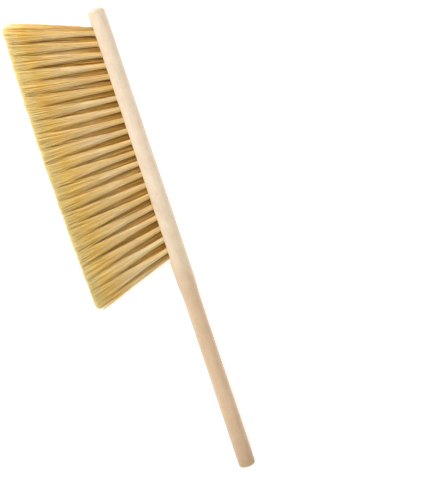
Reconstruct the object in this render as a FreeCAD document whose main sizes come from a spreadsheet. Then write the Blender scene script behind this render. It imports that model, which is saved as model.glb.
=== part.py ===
"""Long wooden-handled dusting brush.

A round turned beech stick carries two staggered rows of bristle tufts on one side of its upper half,
where a narrow flat is planed along it. Each tuft is folded over a flat wire anchor and driven into a
blind hole in the flat. The tufts fan out, from leaning towards the head end to leaning towards the
handle, and are trimmed to a long shallow arc.

Units are millimetres. The brush lies on its side: the stick runs along Y with its head end at +Y, the
bristles point along -X, and Z is up. It is laid out in the stick's own frame, where the stick's axis is
the Y axis and the head end is at Y = 0, and each sub-part's Placement then moves it so that the origin
is the middle of the bottom of the whole brush.
"""

import FreeCAD
import Part
import Sketcher
import math
import os
from FreeCAD import Placement, Rotation, Vector

# Driving dimensions: alias, value, meaning. "along" is measured from the head end along the stick.
SIZES = (
    ("stickLength", 420.0, "overall length of the stick"),
    ("headRadius", 7.9, "stick radius at the head"),
    ("swellRadius", 8.25, "stick radius where the bristles end, the thickest place"),
    ("neckRadius", 7.25, "stick radius just below the swelling"),
    ("gripRadius", 7.35, "stick radius of the grip, a true cylinder"),
    ("headRunEnd", 95.0, "along, end of the head's cylinder"),
    ("swellStart", 185.0, "along, start of the swelling's cylinder"),
    ("swellEnd", 243.0, "along, end of the swelling's cylinder"),
    ("neckStart", 270.0, "along, start of the neck's cylinder"),
    ("neckEnd", 345.0, "along, end of the neck's cylinder"),
    ("gripStart", 368.0, "along, start of the grip's cylinder"),
    ("headCorner", 3.5, "rounding of the head end's rim"),
    ("headDome", 12.0, "radius of the domed head end"),
    ("gripCorner", 4.0, "rounding of the handle end's rim"),
    ("gripDome", 18.0, "radius of the domed handle end"),
    ("flatDistance", 6.85, "from the stick's axis to the planed flat, where the tufts leave the wood"),
    ("flatStart", 17.0, "along, where the flat reaches its full depth"),
    ("flatEnd", 227.0, "along, where the flat starts to run out again"),
    ("cutterRadius", 6.0, "cutter that planes the flat, and so the shape of its run-outs"),
    ("cutterWidth", 20.0, "cutter across the stick, wider than the stick"),
    ("frontTufts", 21, "tufts in the front row"),
    ("rearTufts", 22, "tufts in the rear row"),
    ("frontFirst", 21.0, "along, root of the front row's first tuft"),
    ("rearFirst", 17.2, "along, root of the rear row's first tuft"),
    ("frontPitch", 9.93, "drilling pitch of the front row"),
    ("rearPitch", 9.87, "drilling pitch of the rear row"),
    ("frontHeadLean", 14.8, "lean of the front row's first tuft towards the head end, in degrees"),
    ("frontGripLean", 14.7, "lean of the front row's last tuft towards the grip, in degrees"),
    ("rearHeadLean", 17.2, "lean of the rear row's first tuft towards the head end, in degrees"),
    ("rearGripLean", 15.0, "lean of the rear row's last tuft towards the grip, in degrees"),
    ("rowOffset", 2.1, "height of a row's roots above or below the stick's axis"),
    ("trimDistance", 83.7, "from the stick's axis to the crown of the arc that the tips are trimmed to"),
    ("trimCrown", 104.0, "along, crown of the trimming arc"),
    ("trimRadius", 2900.0, "trimming arc"),
    ("tipOffset", 4.1, "height of a row's tips above or below the stick's axis"),
    ("tipHalfWidth", 5.8, "half of a tuft's tip along the stick"),
    ("tipHalfDepth", 4.0, "half of a tuft's tip across the rows"),
    ("flareDistance", 8.5, "from the stick's axis to where a tuft starts to flare"),
    ("tuftSides", 16, "straight sides of a tuft's sections"),
    ("holeRadius", 2.15, "tuft hole"),
    ("tuftRadius", 2.13, "bound root of a tuft across its corners, a snug fit in its hole"),
    ("holeBottom", 1.5, "from the stick's axis to the bottoms of the holes, on the far side"),
    ("drillLength", 13.0, "drill, from the bottom of a hole to clear of the wood"),
    ("anchorLength", 5.6, "anchor across the hole, its ends bite into the wood"),
    ("anchorWidth", 2.0, "anchor along the hole"),
    ("anchorThickness", 0.4, "anchor stock"),
    ("anchorGap", 0.9, "folded bristle between an anchor and the bottom of its hole"),
)

# Each row of tufts: its name, which starts the names of its sizes, and its side of the axis (+1 is up).
ROWS = (("front", 1), ("rear", -1))

# The stick's cylinders from the head down: radius, start, end. An end's rounding sets the place left out.
CYLINDERS = (
    ("headRadius", None, "headRunEnd"),
    ("swellRadius", "swellStart", "swellEnd"),
    ("neckRadius", "neckStart", "neckEnd"),
    ("gripRadius", "gripStart", None),
)

START, END, CENTRE = 1, 2, 3
ORIGIN_POINT = (-1, 1)
Y_AXIS = -2


def make_sheet(doc):
    """The spreadsheet of driving dimensions: name, value and meaning in each row."""
    sheet = doc.addObject("Spreadsheet::Sheet", "Sizes")
    for row, (alias, value, meaning) in enumerate(SIZES, start=1):
        sheet.set(f"A{row}", alias)
        sheet.set(f"B{row}", str(value))
        sheet.set(f"C{row}", meaning)
        sheet.setAlias(f"B{row}", alias)
    doc.recompute()
    return sheet


def bind(feature, **sizes):
    """Ties each property of a feature to a cell of the sheet."""
    for name, alias in sizes.items():
        feature.setExpression(name, f"Sizes.{alias}")


# ---- the stick ----


def end_curves(radius, corner, dome):
    """A domed end with a rounded rim, for an end at Y = 0 on a stick that runs towards -Y.

    Returns the dome arc's and the rim arc's (first, middle, last) points, from the axis outwards.
    """
    rim_x = radius - corner
    rim_y = -dome + math.sqrt((dome - corner) ** 2 - rim_x**2)
    reach = math.atan2(rim_x, rim_y + dome)

    def on_dome(angle):
        return Vector(dome * math.sin(angle), dome * math.cos(angle) - dome, 0)

    def on_rim(angle):
        return Vector(rim_x + corner * math.sin(angle), rim_y + corner * math.cos(angle), 0)

    dome_points = [on_dome(0), on_dome(reach / 2), on_dome(reach)]
    rim_points = [on_rim(reach), on_rim((reach + math.pi / 2) / 2), on_rim(math.pi / 2)]
    return dome_points, rim_points


def flipped(points, length):
    """An end's points turned over to the other end of the stick."""
    return [Vector(p.x, -length - p.y, 0) for p in reversed(points)]


class Outline:
    """A chain of tangent edges in a sketch, drawn from the head end to the handle end."""

    def __init__(self, sketch):
        self.sketch = sketch
        self.last = None

    def constrain(self, *constraint):
        return self.sketch.addConstraint(Sketcher.Constraint(*constraint))

    def size(self, alias, *constraint):
        """Adds a dimension and ties it to a cell of the sheet."""
        index = self.constrain(*constraint)
        name = f"{alias}{index}"
        self.sketch.renameConstraint(index, name)
        self.sketch.setExpression(f"Constraints.{name}", f"Sizes.{alias}")

    def add(self, curve, first):
        """Adds an edge that starts at first, smoothly joined to the one before.

        Returns the edge's number, and the names of its ends nearer the head and nearer the handle.
        """
        edge = self.sketch.addGeometry(curve, False)
        forwards = self.sketch.getPoint(edge, START).distanceToPoint(first) < 1e-6
        upper, lower = (START, END) if forwards else (END, START)
        if self.last:
            self.constrain("Tangent", *self.last, edge, upper)
        self.last = (edge, lower)
        return edge, upper, lower

    def arc(self, points, radius):
        edge, upper, lower = self.add(Part.Arc(*points), points[0])
        self.size(radius, "Radius", edge, self.sketch.Geometry[edge].Radius)
        return edge, upper, lower

    def dome(self, points, radius):
        """An arc whose centre is on the stick's axis."""
        edge, upper, lower = self.arc(points, radius)
        self.constrain("PointOnObject", edge, CENTRE, Y_AXIS)
        return edge, upper, lower

    def run(self, first, last, radius):
        """The straight edge of a cylinder."""
        edge, upper, lower = self.add(Part.LineSegment(first, last), first)
        self.constrain("Vertical", edge)
        self.size(radius, "DistanceX", *ORIGIN_POINT, edge, upper, first.x)
        return edge, upper, lower

    def blend(self, first, last):
        """A smooth S from one cylinder's edge to the next."""
        middle = (first.y + last.y) / 2
        poles = [first, Vector(first.x, middle, 0), Vector(last.x, middle, 0), last]
        curve = Part.BSplineCurve()
        curve.buildFromPoles(poles)
        self.add(curve, first)


def draw_stick_outline(sketch, value):
    """Half of the stick's outline, closed along its axis."""
    length = value("stickLength")
    head_dome, head_rim = end_curves(
        value("headRadius"), value("headCorner"), value("headDome")
    )
    grip_dome, grip_rim = (
        flipped(points, length)
        for points in end_curves(value("gripRadius"), value("gripCorner"), value("gripDome"))
    )
    outline = Outline(sketch)
    apex, apex_end, _ = outline.dome(head_dome, "headDome")
    outline.arc(head_rim, "headCorner")
    above = None
    for radius, start, end in CYLINDERS:
        first = Vector(value(radius), -value(start), 0) if start else head_rim[-1]
        last = Vector(value(radius), -value(end), 0) if end else grip_rim[0]
        if above:
            outline.blend(above, first)
        edge, upper, lower = outline.run(first, last, radius)
        if start:
            outline.size(start, "DistanceY", edge, upper, *ORIGIN_POINT, -first.y)
        if end:
            outline.size(end, "DistanceY", edge, lower, *ORIGIN_POINT, -last.y)
        above = last
    outline.arc(grip_rim, "gripCorner")
    outline.dome(grip_dome, "gripDome")

    along_axis = Part.LineSegment(Vector(0, -length, 0), Vector(0, 0, 0))
    axis = sketch.addGeometry(along_axis, False)
    outline.constrain("Coincident", axis, START, *outline.last)
    outline.constrain("Coincident", axis, END, *ORIGIN_POINT)
    outline.constrain("Coincident", apex, apex_end, *ORIGIN_POINT)
    outline.constrain("Vertical", axis)
    outline.size("stickLength", "DistanceY", axis, START, axis, END, length)


def make_stick_blank(doc, value):
    """The turned stick before it is drilled: half its outline, spun about the Y axis."""
    body = doc.addObject("PartDesign::Body", "StickBlank")
    sketch = body.newObject("Sketcher::SketchObject", "StickOutline")
    planes = {feature.Role: feature for feature in body.Origin.OriginFeatures}
    sketch.AttachmentSupport = [(planes["XY_Plane"], "")]
    sketch.MapMode = "FlatFace"
    doc.recompute()
    draw_stick_outline(sketch, value)
    doc.recompute()
    turning = body.newObject("PartDesign::Revolution", "Turning")
    turning.Profile = sketch
    turning.ReferenceAxis = (sketch, ["V_Axis"])
    turning.Angle = 360.0
    body.Tip = turning
    doc.recompute()
    return body


def make_cutter(doc, value):
    """The space that a cutter, its axle across the stick, sweeps as it planes the flat."""
    axle_x = -value("flatDistance") - value("cutterRadius")
    side_z = -value("cutterWidth") / 2
    ends = []
    for name in ("flatStart", "flatEnd"):
        end = doc.addObject("Part::Cylinder", f"Cutter_{name}")
        bind(end, Radius="cutterRadius", Height="cutterWidth")
        end.Placement = Placement(Vector(axle_x, -value(name), side_z), Rotation())
        ends.append(end)
    pass_between = doc.addObject("Part::Box", "CutterPass")
    bind(pass_between, Length="cutterRadius", Height="cutterWidth")
    pass_between.setExpression("Width", "Sizes.flatEnd - Sizes.flatStart")
    pass_between.Placement = Placement(Vector(axle_x, -value("flatEnd"), side_z), Rotation())
    cutter = doc.addObject("Part::MultiFuse", "Cutter")
    cutter.Shapes = [*ends, pass_between]
    return cutter


# ---- the tufts ----


def trim_point(value, root, lean):
    """Where the line that leaves root at this lean meets the trimming arc, in the stick's XY plane."""
    radius = value("trimRadius")
    centre = Vector(radius - value("trimDistance"), -value("trimCrown"), 0)
    outwards = Vector(-math.cos(lean), math.sin(lean), 0)
    ahead = (centre - root).dot(outwards)
    reach = ahead + math.sqrt(ahead**2 + radius**2 - (centre - root).dot(centre - root))
    return root + outwards * reach


class TuftAxis:
    """The straight line that one tuft follows from its hole to its tip, in the stick's frame."""

    def __init__(self, value, row, side, index):
        """side is +1 or -1 for the row above or below the axis, index counts the row's tufts from 0."""
        along = value(f"{row}First") + value(f"{row}Pitch") * index
        share = index / (value(f"{row}Tufts") - 1)
        lean = (1 - share) * value(f"{row}HeadLean") - share * value(f"{row}GripLean")
        self.root = Vector(-value("flatDistance"), -along, side * value("rowOffset"))
        self.tip = trim_point(value, Vector(self.root.x, self.root.y, 0), math.radians(lean))
        self.tip.z = side * value("tipOffset")
        self.direction = (self.tip - self.root).normalize()

    def at(self, distance):
        """The point at this distance from the stick's axis towards the tips."""
        share = (-distance - self.root.x) / (self.tip.x - self.root.x)
        return self.root + (self.tip - self.root) * share

    def facing(self):
        """A rotation whose Z runs along the tuft and whose X runs about along the stick."""
        return Rotation(Vector(0, 1, 0), Vector(), self.direction, "ZXY")


def make_drill(doc, value, name, axis):
    drill = doc.addObject("Part::Cylinder", f"Drill_{name}")
    bind(drill, Radius="holeRadius", Height="drillLength")
    drill.Placement = Placement(axis.at(-value("holeBottom")), axis.facing())
    return drill


def make_anchor(doc, value, name, axis):
    """A flat strip of wire across the hole, just above its bottom."""
    anchor = doc.addObject("Part::Box", f"Anchor_{name}")
    bind(anchor, Length="anchorThickness", Width="anchorLength", Height="anchorWidth")
    corner = Vector(
        -value("anchorThickness") / 2, -value("anchorLength") / 2, value("anchorGap")
    )
    turn = axis.facing()
    bottom = axis.at(-value("holeBottom"))
    anchor.Placement = Placement(bottom + turn.multVec(corner), turn)
    return anchor


def make_section(doc, value, name, centre, facing, half_width, half_depth):
    """An oval section of a tuft, drawn with straight sides, because that keeps 43 tufts light."""
    sides = int(value("tuftSides"))
    corners = []
    for index in range(sides):
        angle = 2 * math.pi * index / sides
        corners.append(Vector(half_width * math.cos(angle), half_depth * math.sin(angle), 0))
    section = doc.addObject("Part::Feature", name)
    section.Shape = Part.makePolygon(corners + corners[:1])
    section.Placement = Placement(centre, facing)
    return section


def make_tuft(doc, value, name, axis, anchor):
    """One tuft: a round bound root that flares to an oval tip, cut square to the stick."""
    root = value("tuftRadius")
    bottom = axis.at(-value("holeBottom"))
    flare = axis.at(value("flareDistance"))
    outwards = Rotation(Vector(0, 1, 0), Vector(), Vector(-1, 0, 0), "ZXY")
    tip = (axis.tip, outwards, value("tipHalfWidth"), value("tipHalfDepth"))

    bundle = doc.addObject("Part::Loft", f"Bundle_{name}")
    bundle.Sections = [
        make_section(doc, value, f"Bottom_{name}", bottom, axis.facing(), root, root),
        make_section(doc, value, f"Flare_{name}", flare, axis.facing(), root, root),
        make_section(doc, value, f"Tip_{name}", *tip),
    ]
    bundle.Solid = True
    bundle.Ruled = True
    tuft = cut(doc, f"Tuft_{name}", bundle, anchor)
    tuft.Label = f"tuft_{name}"
    return tuft


def make_group(doc, name, members):
    group = doc.addObject("Part::Compound", name)
    group.Links = members
    return group


def cut(doc, name, base, tool):
    result = doc.addObject("Part::Cut", name)
    result.Base = base
    result.Tool = tool
    return result


# ---- the whole brush ----


def brush_offset(parts):
    """Moves the middle of the bottom of the brush to the origin."""
    box = FreeCAD.BoundBox()
    for part in parts:
        box.add(part.Shape.optimalBoundingBox(False, False))
    return Vector(-box.Center.x, -box.Center.y, -box.ZMin)


def build(doc):
    sheet = make_sheet(doc)

    def value(alias):
        return float(sheet.get(alias))

    drills, anchors, parts = [], {}, []
    for row, side in ROWS:
        anchors[row] = []
        for index in range(int(value(f"{row}Tufts"))):
            name = f"{row}_{index + 1:02d}"
            axis = TuftAxis(value, row, side, index)
            drills.append(make_drill(doc, value, name, axis))
            anchor = make_anchor(doc, value, name, axis)
            anchors[row].append(anchor)
            parts.append(make_tuft(doc, value, name, axis, anchor))

    for row, members in anchors.items():
        group = make_group(doc, f"Anchors_{row}", members)
        group.Label = f"anchors_{row}"
        parts.append(group)

    every_anchor = [anchor for members in anchors.values() for anchor in members]
    planed = cut(doc, "Planed", make_stick_blank(doc, value), make_cutter(doc, value))
    drilled = cut(doc, "Drilled", planed, make_group(doc, "Drills", drills))
    handle = cut(doc, "Handle", drilled, make_group(doc, "AnchorSeats", every_anchor))
    handle.Label = "handle"
    parts.append(handle)
    doc.recompute()

    offset = brush_offset(parts)
    print("moved by", offset)
    for part in parts:
        part.Placement = Placement(offset, Rotation())
    return parts


def check(doc, parts):
    """Stops if any feature failed or any sub-part has no sound shape."""
    failed = [o.Name for o in doc.Objects if {"Invalid", "Error"} & set(o.State)]
    unsound = [p.Label for p in parts if p.Shape.isNull() or not p.Shape.isValid()]
    if failed or unsound:
        raise RuntimeError(f"failed features {failed}, unsound shapes {unsound}")


def main():
    doc = FreeCAD.newDocument("Brush")
    parts = build(doc)
    doc.recompute()
    check(doc, parts)
    os.makedirs("parts", exist_ok=True)
    for part in parts:
        part.Shape.exportStep(f"parts/{part.Label}.step")
        print(part.Label, len(part.Shape.Solids), "solids", round(part.Shape.Volume, 1))


main()
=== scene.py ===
"""The looks of a long dusting brush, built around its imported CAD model, in metres and in the row frame.

The brush lies on its side on a pale floor: the stick runs along Y with its head end at +Y, and two rows of
tufts point to -X, the front row on top. The stick is the CAD node with a beech material, and the wire
anchors in its holes are the CAD nodes with steel. Every tuft is a mesh of separate bristles that starts in
its drilled hole and ends at the trim line.
"""

import math

import bpy
import numpy as np
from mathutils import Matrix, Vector


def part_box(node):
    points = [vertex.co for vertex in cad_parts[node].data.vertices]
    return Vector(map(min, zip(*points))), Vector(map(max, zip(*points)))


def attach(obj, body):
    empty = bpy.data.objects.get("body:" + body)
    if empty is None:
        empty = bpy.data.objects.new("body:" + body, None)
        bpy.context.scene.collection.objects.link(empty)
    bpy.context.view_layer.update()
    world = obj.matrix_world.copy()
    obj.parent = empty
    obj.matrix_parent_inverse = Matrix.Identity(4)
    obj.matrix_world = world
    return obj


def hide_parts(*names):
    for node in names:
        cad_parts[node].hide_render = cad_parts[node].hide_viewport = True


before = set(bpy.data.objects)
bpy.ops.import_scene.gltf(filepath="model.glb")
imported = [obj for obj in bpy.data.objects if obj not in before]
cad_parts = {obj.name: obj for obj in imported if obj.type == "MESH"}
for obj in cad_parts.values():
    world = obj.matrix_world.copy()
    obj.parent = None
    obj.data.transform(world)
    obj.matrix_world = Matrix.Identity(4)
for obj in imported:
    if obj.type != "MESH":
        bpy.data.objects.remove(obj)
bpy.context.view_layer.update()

MM = 0.001
SEED = 5

# Camera: straight down on the brush, far away, so that the view is nearly parallel.
LENS = 135.0  # mm
SENSOR = 36.0  # mm, along the picture's long side
VIEW_HEIGHT = 0.4183  # what the long side spans at the stick's height
ROLL = math.radians(18.5)  # the head end leans this far to the left of straight up
AIM_BEHIND_STICK = 0.03154  # the picture's middle: past the stick, on the side away from the tufts
AIM_FROM_HEAD = 0.2239  # and this far down from the head end
CLIP_START, CLIP_END = 0.05, 20.0

# Light: softboxes that point at the middle of the brush, a pale surround and a floor that glows a little
KEY_PLACE = (-0.62, 1.05, 0.72)  # at the head end, on the tufts' side
KEY_POWER = 17.0  # W
SECOND_PLACE = (-0.25, -1.25, 0.72)  # at the handle's end
SECOND_POWER = 6.5
FILL_PLACE = (0.75, 0.8, 0.5)  # behind the stick, nearer its head
FILL_POWER = 3.0
SOFTBOX = (0.6, 0.6)
SURROUND = 0.66
FLOOR_GLOW = 0.42
FLOOR_REACH = 3.0  # from the middle to each side

# Colours, linear. A ramp is a row of (place, colour), and a single colour has its alpha.
BEECH_BODY = ((0.30, (0.665, 0.535, 0.405)), (0.50, (0.72, 0.595, 0.46)), (0.70, (0.76, 0.64, 0.505)))
BEECH_GRAIN = (0.56, 0.42, 0.29, 1.0)
BEECH_TINTS = ((0.35, (1.0, 0.94, 0.92)), (0.65, (0.97, 1.0, 0.95)))  # pinkish to greenish patches
BEECH_FLECK = (0.50, 0.33, 0.20, 1.0)
BEECH_TONE = (  # from the head end to the handle's end
    (0.0, (0.80, 0.74, 0.71)), (0.015, (0.95, 0.95, 0.94)), (0.35, (1.0, 1.0, 0.99)),
    (0.55, (0.95, 0.93, 0.87)), (0.62, (0.82, 0.725, 0.61)), (0.85, (0.82, 0.715, 0.605)),
    (0.93, (0.75, 0.645, 0.54)), (1.0, (0.60, 0.49, 0.39)))
FIBRE_SHADES = (  # from dark amber to straw
    (0.0, (0.55, 0.21, 0.006)), (0.30, (0.86, 0.51, 0.09)), (0.65, (0.94, 0.71, 0.32)),
    (1.0, (0.96, 0.88, 0.68)))
FIBRE_STREAK = (0.85, 0.52, 0.13, 1.0)
FIBRE_ALONG = (  # from the wood to the tips, which are more golden
    (0.0, (0.96, 0.96, 1.0)), (0.35, (1.0, 1.0, 1.0)), (0.80, (1.0, 0.84, 0.36)), (1.0, (1.0, 0.96, 0.66)))
STEEL = ((0.3, (0.42, 0.42, 0.43)), (0.7, (0.62, 0.61, 0.60)))
FLOOR = ((0.3, (0.86, 0.86, 0.86)), (0.7, (0.88, 0.88, 0.88)))
WHITE = (1.0, 1.0, 1.0, 1.0)

# The Mix node's sockets for colours
MIX_FACTOR, MIX_FIRST, MIX_SECOND, MIX_RESULT = 0, 6, 7, 2

# Reading the CAD tufts
FLAT_END_DEPTH = 0.05 * MM  # points this close to the furthest one belong to a flat end
AXIS_PASSES = 5  # a tuft's axis and its bottom are found from each other, in so many passes

# The bundles in their holes. Sizes across a bristle or a tuft are in metres, as everywhere in this script.
BRISTLES_PER_TUFT = 300
CLUMPS_PER_TUFT = 14
GOLDEN_ANGLE = math.pi * (3 - math.sqrt(5))
DISC_SCATTER = 0.35  # how far the points of a disc are out of order, as a share of their spacing
CLUMP_REACH = 0.9  # the outermost clumps sit this far out, as a share of the bundle's radius
ROOT_RADIUS = 2.0 * MM  # of the bundle in its hole, to the bristles' centres
SWELL_START = 0.93  # the bundle is straight up to this share of its hole's depth, then it swells
FRONT_BULGE = 0.25 * MM  # a front bundle swells this much as it leaves its hole
REAR_BULGE = 1.6 * MM  # a rear one more, and it fills the gaps between the front ones
BULGE_LENGTH = 0.3 * MM

# Each bristle as a tube
ROOT_THICKNESS = 0.25 * MM
TIP_THICKNESS = 0.24 * MM
BRISTLE_SIDES = 3
RINGS_OUTSIDE = 9
RING_CROWDING = 2.2  # more than 1 puts the rings closer together near the wood

# The spread to the tips
FRONT_SPREAD = 1.8  # how late a front bundle spreads out on its way to the tips, 1 is evenly
REAR_SPREAD = 0.9
REAR_LIFT = 6.5 * MM  # at most this far the rear bristles rise between the front ones at their tips
END_STRETCH = (1.3, 1.15)  # the bundle's end over the CAD tuft's, along the stick and across it
SQUARING_LIMIT = 0.16  # the round bundle's end is squared off, and smaller is squarer at its sides
END_SCATTER = 0.24  # standard deviation, as a share of half the end's size
CLUMP_PULL = (0.05, 0.45)  # at least and at most, the share of the way that a tip moves to its clump's middle
BOW = 0.3 * MM  # at most this much the tufts at the head end bend outwards on their way
MAX_LEAN = 0.296  # sine of the outermost tufts' lean along the stick

# Unevenness. Every SWAY is a standard deviation at the tips.
TUFT_SWAY = (0.45 * MM, 0.15 * MM)  # along the stick and across it
CLUMP_SWAY = 0.30 * MM
BRISTLE_SWAY = 0.25 * MM
STRAY_SHARE = 0.03  # bristles that leave their tuft's line
STRAY_SWAY = 2.4 * MM
WAVE = 0.15 * MM  # standard deviation of the waves' height
WAVE_CYCLES = (0.6, 1.5)  # at least and at most, over a bristle's length

# The trimmed ends
HEAD_CORNER = 7.5 * MM  # the fan's corners are trimmed round
GRIP_CORNER = 4.5 * MM
BRISTLE_TRIM = 0.65 * MM  # standard deviations of the length
CLUMP_TRIM = 0.35 * MM
TUFT_TRIM = 0.2 * MM
FRINGE_SHARE = 0.10  # bristles that the trim missed
FRINGE_LENGTH = 1.1 * MM  # and how far they stand out on average
MAX_PAST_TRIM = 3.0 * MM
BROKEN_SHARE = 0.05  # bristles that broke off short
BROKEN_LOSS = (0.5 * MM, 3.0 * MM)  # at least and at most
FLOOR_CLEARANCE = 0.15 * MM

# Shades of the bristles, 0 is dark amber and 1 is straw
SHADE = 0.62  # mean
TIP_PALING_AND_PAINTED_LIGHT = 0.32  # and this much lighter at their tips: partly their own paler tips, partly painted light for the light that shines through the thin tips
TUFT_TONE = 0.03  # standard deviations from the mean
CLUMP_TONE = 0.06
BRISTLE_TONE = 0.17
TONE_LOSS = 0.4  # this share of them is gone at the tips
PAINTED_UNDER_SHADE = 0.48  # painted shade: the bristles under others are this much darker at their roots, where the others shade them
OPEN_EDGE = 9.0 * MM  # the fan's two edges are open to the light this far in
EDGE_PAINTED_SHADE = 0.3  # but bristles there keep this share of their painted shade


def vertices(name):
    """A CAD node's vertices, in the row frame."""
    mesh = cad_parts[name].data
    points = np.empty(len(mesh.vertices) * 3, np.float32)
    mesh.vertices.foreach_get("co", points)
    return points.reshape(-1, 3).astype(float)


def unit(vector):
    """The vector at length 1."""
    return vector / np.linalg.norm(vector)


def node_tree(name):
    """A new material with one Principled shader. Returns the material, its node tree and the shader."""
    material = bpy.data.materials.new(name)
    material.use_nodes = True
    tree = material.node_tree
    tree.nodes.clear()
    output = tree.nodes.new("ShaderNodeOutputMaterial")
    shader = tree.nodes.new("ShaderNodeBsdfPrincipled")
    tree.links.new(shader.outputs["BSDF"], output.inputs["Surface"])
    return material, tree, shader


def put(tree, socket, value):
    """Links an input to a socket, or sets it to a value."""
    if isinstance(value, bpy.types.NodeSocket):
        tree.links.new(value, socket)
    else:
        socket.default_value = value


def add(tree, kind, inputs=None, **settings):
    """A node of that kind with its settings, whose inputs are linked to sockets or set to values."""
    node = tree.nodes.new(kind)
    for name, value in settings.items():
        setattr(node, name, value)
    for name, value in (inputs or {}).items():
        put(tree, node.inputs[name], value)
    return node


def noise(tree, vector, detail=3.0, roughness=0.55):
    """Noise from 0 to 1, with about one blotch for each unit of the vector."""
    node = add(tree, "ShaderNodeTexNoise", {"Vector": vector, "Scale": 1.0, "Detail": detail,
                                            "Roughness": roughness})
    return node.outputs["Fac"]


def stretched(tree, scale, offset=(0.0, 0.0, 0.0)):
    """Object coordinates in millimetres, times scale on each axis."""
    coordinates = add(tree, "ShaderNodeTexCoord").outputs["Object"]
    node = add(tree, "ShaderNodeMapping", {"Vector": coordinates, "Location": offset,
                                           "Scale": [s / MM for s in scale]})
    return node.outputs["Vector"]


def ramp(tree, factor, stops):
    """Colours at places from 0 to 1, blended in between."""
    node = add(tree, "ShaderNodeValToRGB", {"Fac": factor})
    elements = node.color_ramp.elements
    while len(elements) < len(stops):
        elements.new(0.5)
    for element, (place, colour) in zip(elements, stops):
        element.position = place
        element.color = (*colour, 1.0)
    return node.outputs["Color"]


def mapped(tree, value, from_range, to_range):
    """The value, moved from one range to another and kept inside it."""
    node = add(tree, "ShaderNodeMapRange", {"Value": value, "From Min": from_range[0],
                                            "From Max": from_range[1], "To Min": to_range[0],
                                            "To Max": to_range[1]})
    return node.outputs["Result"]


def mixed(tree, factor, first, second, how="MIX"):
    """Two colours, each a socket or a value, mixed by factor."""
    node = add(tree, "ShaderNodeMix", data_type="RGBA", blend_type=how)
    put(tree, node.inputs[MIX_FACTOR], factor)
    put(tree, node.inputs[MIX_FIRST], first)
    put(tree, node.inputs[MIX_SECOND], second)
    return node.outputs[MIX_RESULT]


def add_bump(tree, shader, height, strength, distance):
    """Gives the shader fine relief from a height."""
    bump = add(tree, "ShaderNodeBump", {"Height": height, "Strength": strength, "Distance": distance})
    tree.links.new(bump.outputs["Normal"], shader.inputs["Normal"])


def beech_material():
    """Pale turned beech: long soft grain, short ray flecks, warmer and darker towards the handle's end."""
    material, tree, shader = node_tree("stick_beech")
    body = ramp(tree, noise(tree, stretched(tree, (0.14, 0.06, 0.14))), BEECH_BODY)
    grain = noise(tree, stretched(tree, (1.6, 0.02, 1.6)), 4.0, 0.62)
    grained = mixed(tree, mapped(tree, grain, (0.35, 0.70), (0.0, 0.25)), body, BEECH_GRAIN)
    patches = noise(tree, stretched(tree, (0.35, 0.16, 0.35), (2.0, 5.0, 4.0)), 2.0)
    tinted = mixed(tree, 1.0, grained, ramp(tree, patches, BEECH_TINTS), "MULTIPLY")
    flecks = noise(tree, stretched(tree, (1.5, 0.28, 1.5), (7.0, 3.0, 1.0)), 1.5, 0.5)
    flecked = mixed(tree, mapped(tree, flecks, (0.58, 0.72), (0.0, 0.35)), tinted, BEECH_FLECK)

    low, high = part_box("handle")
    along = add(tree, "ShaderNodeSeparateXYZ", {"Vector": stretched(tree, (1.0, 1.0, 1.0))}).outputs["Y"]
    from_head = mapped(tree, along, (high.y / MM, low.y / MM), (0.0, 1.0))
    toned = mixed(tree, 1.0, flecked, ramp(tree, from_head, BEECH_TONE), "MULTIPLY")
    tree.links.new(toned, shader.inputs["Base Color"])

    tree.links.new(mapped(tree, grain, (0.3, 0.7), (0.38, 0.54)), shader.inputs["Roughness"])
    sanding = noise(tree, stretched(tree, (5.0, 0.35, 5.0)))
    add_bump(tree, shader, sanding, 0.25, 0.05 * MM)
    shader.inputs["Specular IOR Level"].default_value = 0.5
    shader.inputs["Coat Weight"].default_value = 0.2
    shader.inputs["Coat Roughness"].default_value = 0.35
    return material


def fibre_material():
    """Golden plant fibre: every bristle has its own shade, darkened by painted shade at the roots of bristles
    under others and lightened at the tips partly by painted light, and its colour drifts along its length.
    """
    material, tree, shader = node_tree("bristle_fibre")
    shade = add(tree, "ShaderNodeAttribute", attribute_name="shade").outputs["Fac"]
    along = add(tree, "ShaderNodeAttribute", attribute_name="along").outputs["Fac"]
    streaks = noise(tree, stretched(tree, (0.12, 1.6, 1.6)))
    streaked = mixed(tree, mapped(tree, streaks, (0.35, 0.70), (0.0, 0.30)),
                     ramp(tree, shade, FIBRE_SHADES), FIBRE_STREAK)
    colour = mixed(tree, 1.0, streaked, ramp(tree, along, FIBRE_ALONG), "MULTIPLY")
    tree.links.new(colour, shader.inputs["Base Color"])
    tree.links.new(mapped(tree, streaks, (0.3, 0.7), (0.30, 0.44)), shader.inputs["Roughness"])
    fine_relief = noise(tree, stretched(tree, (0.5, 9.0, 9.0)), 2.0)
    add_bump(tree, shader, fine_relief, 0.3, 0.04 * MM)
    shader.inputs["Specular IOR Level"].default_value = 0.4
    return material


def steel_material():
    """Flat staple wire: drawn steel with fine lengthwise scratches."""
    material, tree, shader = node_tree("anchor_steel")
    scratches = noise(tree, stretched(tree, (6.0, 0.6, 6.0)))
    tree.links.new(ramp(tree, scratches, STEEL), shader.inputs["Base Color"])
    tree.links.new(mapped(tree, scratches, (0.3, 0.7), (0.28, 0.46)), shader.inputs["Roughness"])
    shader.inputs["Metallic"].default_value = 1.0
    return material


def floor_material():
    """White acrylic, softly lit from below as on a light table, so that shadows stay pale."""
    material, tree, shader = node_tree("floor_white")
    faint = noise(tree, stretched(tree, (0.01, 0.01, 0.01)), 2.0)
    tree.links.new(ramp(tree, faint, FLOOR), shader.inputs["Base Color"])
    shader.inputs["Roughness"].default_value = 0.9
    shader.inputs["Emission Color"].default_value = WHITE
    shader.inputs["Emission Strength"].default_value = FLOOR_GLOW
    return material


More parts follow.
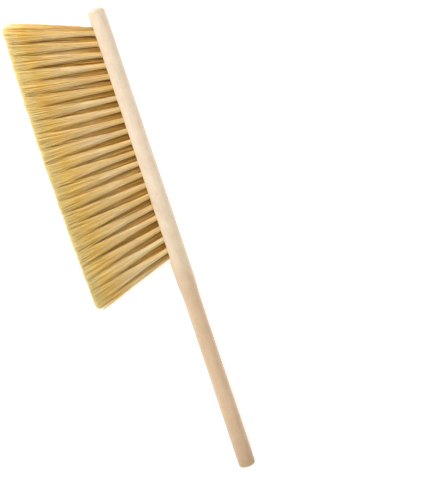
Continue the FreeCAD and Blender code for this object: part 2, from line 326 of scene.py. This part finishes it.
def flat_end(points, outward):
    """The middle of a solid's flat end that faces outward, and half its size along each axis."""
    reach = points @ outward
    ring = points[reach > reach.max() - FLAT_END_DEPTH]
    low, high = ring.min(0), ring.max(0)
    return (low + high) / 2, (high - low) / 2


class Tuft:
    """Where a CAD tuft is: the middles of its bottom and its trimmed end, half that end's size, its axis
    outwards and two axes across it, and whether it is in the front row."""

    def __init__(self, node):
        self.node = node
        points = vertices(node)
        self.tip, self.tip_half = flat_end(points, np.array((-1.0, 0.0, 0.0)))
        inward = np.array((1.0, 0.0, 0.0))
        for _ in range(AXIS_PASSES):
            self.bottom = flat_end(points, inward)[0]
            inward = unit(self.bottom - self.tip)
        self.out = unit(self.tip - self.bottom)
        self.side = unit(np.cross((0.0, 0.0, 1.0), self.out))
        self.up = np.cross(self.out, self.side)
        self.front = self.tip[2] > self.bottom[2]


class Trim:
    """Where the tips of all tufts end: a shallow curve along the stick, with rounded corners."""

    def __init__(self, tufts):
        tips = np.array([tuft.tip for tuft in tufts])
        reach = max(tuft.tip_half[1] for tuft in tufts)
        self.curve = np.polyfit(tips[:, 1], tips[:, 0], 2)
        self.low, self.high = tips[:, 1].min() - reach, tips[:, 1].max() + reach

    def place(self, y):
        """The X that a bristle ends at, for its end's Y."""
        place = np.polyval(self.curve, y)
        for corner, to_edge in ((HEAD_CORNER, self.high - y), (GRIP_CORNER, y - self.low)):
            into_corner = np.clip(corner - to_edge, 0.0, corner)
            place += corner - np.sqrt(corner**2 - into_corner**2)
        return place

    def covered(self, y):
        """How far a place is from the fan's open edges, from 0 at an edge to 1."""
        to_edge = np.minimum(self.high - y, y - self.low)
        return np.clip(to_edge / OPEN_EDGE, 0.0, 1.0)


def mouth_plane(tufts):
    """The X of the flat planed along the stick, where the tufts leave the wood."""
    bottoms = [tuft.bottom[1] for tuft in tufts]
    points = vertices("handle")
    along_flat = (points[:, 1] > min(bottoms)) & (points[:, 1] < max(bottoms))
    return points[along_flat, 0].min()


def disc(rng, count):
    """Points spread evenly over the unit disc, a little out of order."""
    turns = np.arange(count) * GOLDEN_ANGLE + rng.uniform(0, 2 * math.pi)
    radius = np.sqrt((np.arange(count) + 0.5) / count)
    points = np.stack((radius * np.cos(turns), radius * np.sin(turns)), 1)
    return points + rng.normal(0, DISC_SCATTER / math.sqrt(count), points.shape)


def spread_ends(rng, tuft, place, clump_middle):
    """How far each bristle's tip is from the tuft's axis, along its two cross axes."""
    height = np.sqrt(np.clip(1 - place[:, 0]**2, SQUARING_LIMIT, 1.0))
    end = np.stack((END_STRETCH[0] * place[:, 0], END_STRETCH[1] * place[:, 1] / height), 1)
    end += rng.normal(0, END_SCATTER, place.shape)
    end += (clump_middle - end) * rng.uniform(*CLUMP_PULL, (len(place), 1))
    half = np.array((tuft.tip_half[1] * abs(tuft.out[0]), tuft.tip_half[2])) - TIP_THICKNESS / 2
    offset = end * half
    offset[:, 1] = np.clip(offset[:, 1], -half[1], half[1])
    if not tuft.front:
        offset[:, 1] += rng.uniform(0, REAR_LIFT, len(place))
    return offset


def drift_at_tips(rng, clump):
    """How far the tips sway off their lines, as a tuft, as clumps and one by one."""
    count = len(clump)
    tuft_sway = rng.normal(0, TUFT_SWAY)
    clump_sway = rng.normal(0, CLUMP_SWAY, (CLUMPS_PER_TUFT, 2))[clump]
    drift = tuft_sway + clump_sway + rng.normal(0, BRISTLE_SWAY, (count, 2))
    stray = rng.uniform(size=count) < STRAY_SHARE
    drift[stray, 0] += rng.normal(0, STRAY_SWAY, int(stray.sum()))
    return drift


def shortness(rng, clump):
    """How far short of the trim line each bristle ends, or past it where it is below 0."""
    count = len(clump)
    short = rng.normal(0, BRISTLE_TRIM, count) + rng.normal(0, CLUMP_TRIM, CLUMPS_PER_TUFT)[clump]
    fringe = rng.exponential(FRINGE_LENGTH, count) * (rng.random(count) < FRINGE_SHARE)
    short = np.maximum(short + rng.normal(0, TUFT_TRIM) - fringe, -MAX_PAST_TRIM)
    broken = rng.uniform(size=count) < BROKEN_SHARE
    short[broken] += rng.uniform(*BROKEN_LOSS, int(broken.sum()))
    return short


def bristle_lines(rng, tuft, mouth_x, trim):
    """The centre line of each bristle of a tuft, (bristles, rings, 3), each ring's share of the length
    outside the stick, each bristle's clump, and how much painted shade each gets for lying under others, from
    0 to 1.
    """
    bottom, out, side, up = tuft.bottom, tuft.out, tuft.side, tuft.up
    count = BRISTLES_PER_TUFT
    place = disc(rng, count)
    clump_place = disc(rng, CLUMPS_PER_TUFT) * CLUMP_REACH
    clump = np.linalg.norm(place[:, None] - clump_place[None], axis=2).argmin(1)
    end_offset = spread_ends(rng, tuft, place, clump_place[clump])
    drift = drift_at_tips(rng, clump)
    wave = rng.normal(0, WAVE, (count, 2))
    phase = rng.uniform(0, 2 * math.pi, (count, 1))
    cycles = rng.uniform(*WAVE_CYCLES, (count, 1))
    short = shortness(rng, clump)

    straight = (tuft.tip[0] - bottom[0]) / out[0]
    end_y = bottom[1] + out[1] * straight + side[1] * (end_offset[:, 0] + drift[:, 0])
    end_x = trim.place(end_y) + short
    length = (end_x - bottom[0] - side[0] * end_offset[:, 0] - up[0] * end_offset[:, 1]) / out[0]

    # Two rings are in the hole, at its bottom and where the bundle starts to swell, the rest are outside.
    mouth = (mouth_x - bottom[0]) / out[0]
    swell_start = SWELL_START * mouth
    shares = np.linspace(0.0, 1.0, RINGS_OUTSIDE) ** RING_CROWDING
    along = np.concatenate(((0.0, 0.0), shares))
    reaches = np.concatenate((
        np.zeros((count, 1)), np.full((count, 1), swell_start),
        mouth + shares[None] * (length[:, None] - mouth)), 1)

    bulge = FRONT_BULGE if tuft.front else REAR_BULGE
    spread = FRONT_SPREAD if tuft.front else REAR_SPREAD
    covered = trim.covered(end_y)[:, None]
    bow = BOW * max(0.0, out[1] / MAX_LEAN)
    lines = np.empty((count, len(along), 3))
    for ring, share in enumerate(along):
        reach = reaches[:, ring:ring + 1]
        swelling = bulge * covered * (1 - np.exp(-np.maximum(reach - swell_start, 0) / BULGE_LENGTH))
        opened = share**spread
        offset = place * (ROOT_RADIUS + swelling) * (1 - opened) + end_offset * opened
        offset = offset + drift * share * share
        offset = offset + wave * math.sqrt(share) * np.sin(phase + 2 * math.pi * cycles * share)
        offset[:, 0] += math.copysign(bow, side[1]) * math.sin(math.pi * share)
        lines[:, ring] = bottom + out * reach + side * offset[:, :1] + up * offset[:, 1:]
    lines[:, :, 2] = np.maximum(lines[:, :, 2], FLOOR_CLEARANCE)

    # Painted shade: how much each bristle is darkened at its root for lying under others, all of a rear
    # bundle and the lower side of a front one, less near the fan's open edges
    painted_shade_share = (0.5 - 0.5 * place[:, 1]) if tuft.front else np.ones(count)
    painted_shade_share *= np.maximum(covered[:, 0], EDGE_PAINTED_SHADE)
    return lines, along, clump, painted_shade_share


def bristle_shades(rng, along, clump, painted_shade_share):
    """Each bristle's shade at each ring, with painted shade at the roots of the bristles under others and
    partly painted light at the tips.
    """
    tone = rng.normal(0, TUFT_TONE) + rng.normal(0, CLUMP_TONE, CLUMPS_PER_TUFT)[clump]
    tone = tone + rng.normal(0, BRISTLE_TONE, len(clump))
    # the tips are lighter, partly their own paler tips and partly painted light for light shining through
    # them
    shade = SHADE + tone[:, None] * (1 - TONE_LOSS * along) + TIP_PALING_AND_PAINTED_LIGHT * along
    # painted shade at the roots of the bristles under others
    shade -= PAINTED_UNDER_SHADE * painted_shade_share[:, None] * (1 - along)
    return np.clip(shade, 0.0, 1.0)


def tube_mesh(name, lines, thickness, side, up, turn, point_values):
    """One closed thin tube along each line. thickness is given at each ring, turn for each line, and
    point_values are attributes given for each line and ring.
    """
    count, rings, _ = lines.shape
    angles = turn[:, None] + np.arange(BRISTLE_SIDES)[None] * 2 * math.pi / BRISTLE_SIDES
    spokes = np.cos(angles)[:, :, None] * side + np.sin(angles)[:, :, None] * up
    points = lines[:, :, None] + spokes[:, None] * (thickness / 2)[None, :, None, None]
    points = points.reshape(-1, 3)

    ring_starts = np.arange(count * rings).reshape(count, rings)[:, :-1].ravel() * BRISTLE_SIDES
    around = np.arange(BRISTLE_SIDES)
    beside = (around + 1) % BRISTLE_SIDES
    quads = np.stack((ring_starts[:, None] + around, ring_starts[:, None] + beside,
                      ring_starts[:, None] + beside + BRISTLE_SIDES,
                      ring_starts[:, None] + around + BRISTLE_SIDES), 2).reshape(-1, 4)
    first = np.arange(count) * rings * BRISTLE_SIDES
    last = first + (rings - 1) * BRISTLE_SIDES
    caps = np.concatenate((first[:, None] + around[::-1], last[:, None] + around))
    mesh = bpy.data.meshes.new(name)
    mesh.from_pydata(points.tolist(), [], quads.tolist() + caps.tolist())
    mesh.polygons.foreach_set("use_smooth", [True] * len(quads) + [False] * len(caps))
    for attribute, values in point_values.items():
        layer = mesh.attributes.new(attribute, "FLOAT", "POINT")
        layer.data.foreach_set("value", np.repeat(values.reshape(-1), BRISTLE_SIDES).astype(np.float32))
    mesh.update()
    return mesh


def make_tuft(index, tuft, mouth_x, trim, material):
    """The bristles of one tuft, in place of its plain CAD solid."""
    rng = np.random.default_rng((SEED, index))
    lines, along, clump, painted_shade_share = bristle_lines(rng, tuft, mouth_x, trim)
    shade = bristle_shades(rng, along, clump, painted_shade_share)
    turn = rng.uniform(0, 2 * math.pi, BRISTLES_PER_TUFT)
    thickness = ROOT_THICKNESS + (TIP_THICKNESS - ROOT_THICKNESS) * along
    mesh = tube_mesh(tuft.node.replace("tuft", "bristles"), lines, thickness, tuft.side, tuft.up, turn,
                     {"shade": shade, "along": np.tile(along, (BRISTLES_PER_TUFT, 1))})
    mesh.materials.append(material)
    piece = bpy.data.objects.new(mesh.name, mesh)
    bpy.context.scene.collection.objects.link(piece)
    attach(piece, "root")
    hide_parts(tuft.node)


def paint(node, material):
    """Gives a CAD node that stays its finished material."""
    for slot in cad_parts[node].material_slots:
        slot.material = material


def make_camera():
    """A camera far above the brush that looks straight down."""
    low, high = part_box("handle")
    axis_x, axis_z = (low.x + high.x) / 2, (low.z + high.z) / 2
    data = bpy.data.cameras.new("camera")
    data.lens, data.sensor_width, data.sensor_fit = LENS, SENSOR, "AUTO"
    data.clip_start, data.clip_end = CLIP_START, CLIP_END
    camera = bpy.data.objects.new("camera", data)
    camera.location = (axis_x + AIM_BEHIND_STICK, high.y - AIM_FROM_HEAD,
                       axis_z + VIEW_HEIGHT * LENS / SENSOR)
    camera.rotation_euler = (0.0, 0.0, -ROLL)
    bpy.context.scene.collection.objects.link(camera)
    bpy.context.scene.camera = camera


def make_area_light(name, place, power):
    """A softbox that points at the middle of the brush."""
    data = bpy.data.lights.new(name, "AREA")
    data.shape, data.size, data.size_y, data.energy = "RECTANGLE", *SOFTBOX, power
    light = bpy.data.objects.new(name, data)
    light.location = place
    light.rotation_euler = (-Vector(place)).to_track_quat("-Z", "Y").to_euler()
    light.visible_camera = False
    bpy.context.scene.collection.objects.link(light)


def make_studio():
    """A white floor, three softboxes and a pale surround."""
    mesh = bpy.data.meshes.new("floor")
    corners = [(x * FLOOR_REACH, y * FLOOR_REACH, 0) for x, y in ((-1, -1), (1, -1), (1, 1), (-1, 1))]
    mesh.from_pydata(corners, [], [(0, 1, 2, 3)])
    mesh.materials.append(floor_material())
    floor = bpy.data.objects.new("floor", mesh)
    bpy.context.scene.collection.objects.link(floor)
    make_area_light("key", KEY_PLACE, KEY_POWER)
    make_area_light("second", SECOND_PLACE, SECOND_POWER)
    make_area_light("fill", FILL_PLACE, FILL_POWER)
    world = bpy.data.worlds.new("surround")
    world.use_nodes = True
    background = world.node_tree.nodes["Background"]
    background.inputs["Color"].default_value = WHITE
    background.inputs["Strength"].default_value = SURROUND
    bpy.context.scene.world = world
    bpy.context.scene.view_settings.view_transform = "Standard"


make_camera()
make_studio()
paint("handle", beech_material())
steel = steel_material()
for anchors in ("anchors_front", "anchors_rear"):
    paint(anchors, steel)
fibre = fibre_material()
cad_tufts = [Tuft(node) for node in sorted(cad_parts) if node.startswith("tuft_")]
wood_face = mouth_plane(cad_tufts)
trim_line = Trim(cad_tufts)
for number, cad_tuft in enumerate(cad_tufts):
    make_tuft(number, cad_tuft, wood_face, trim_line, fibre)
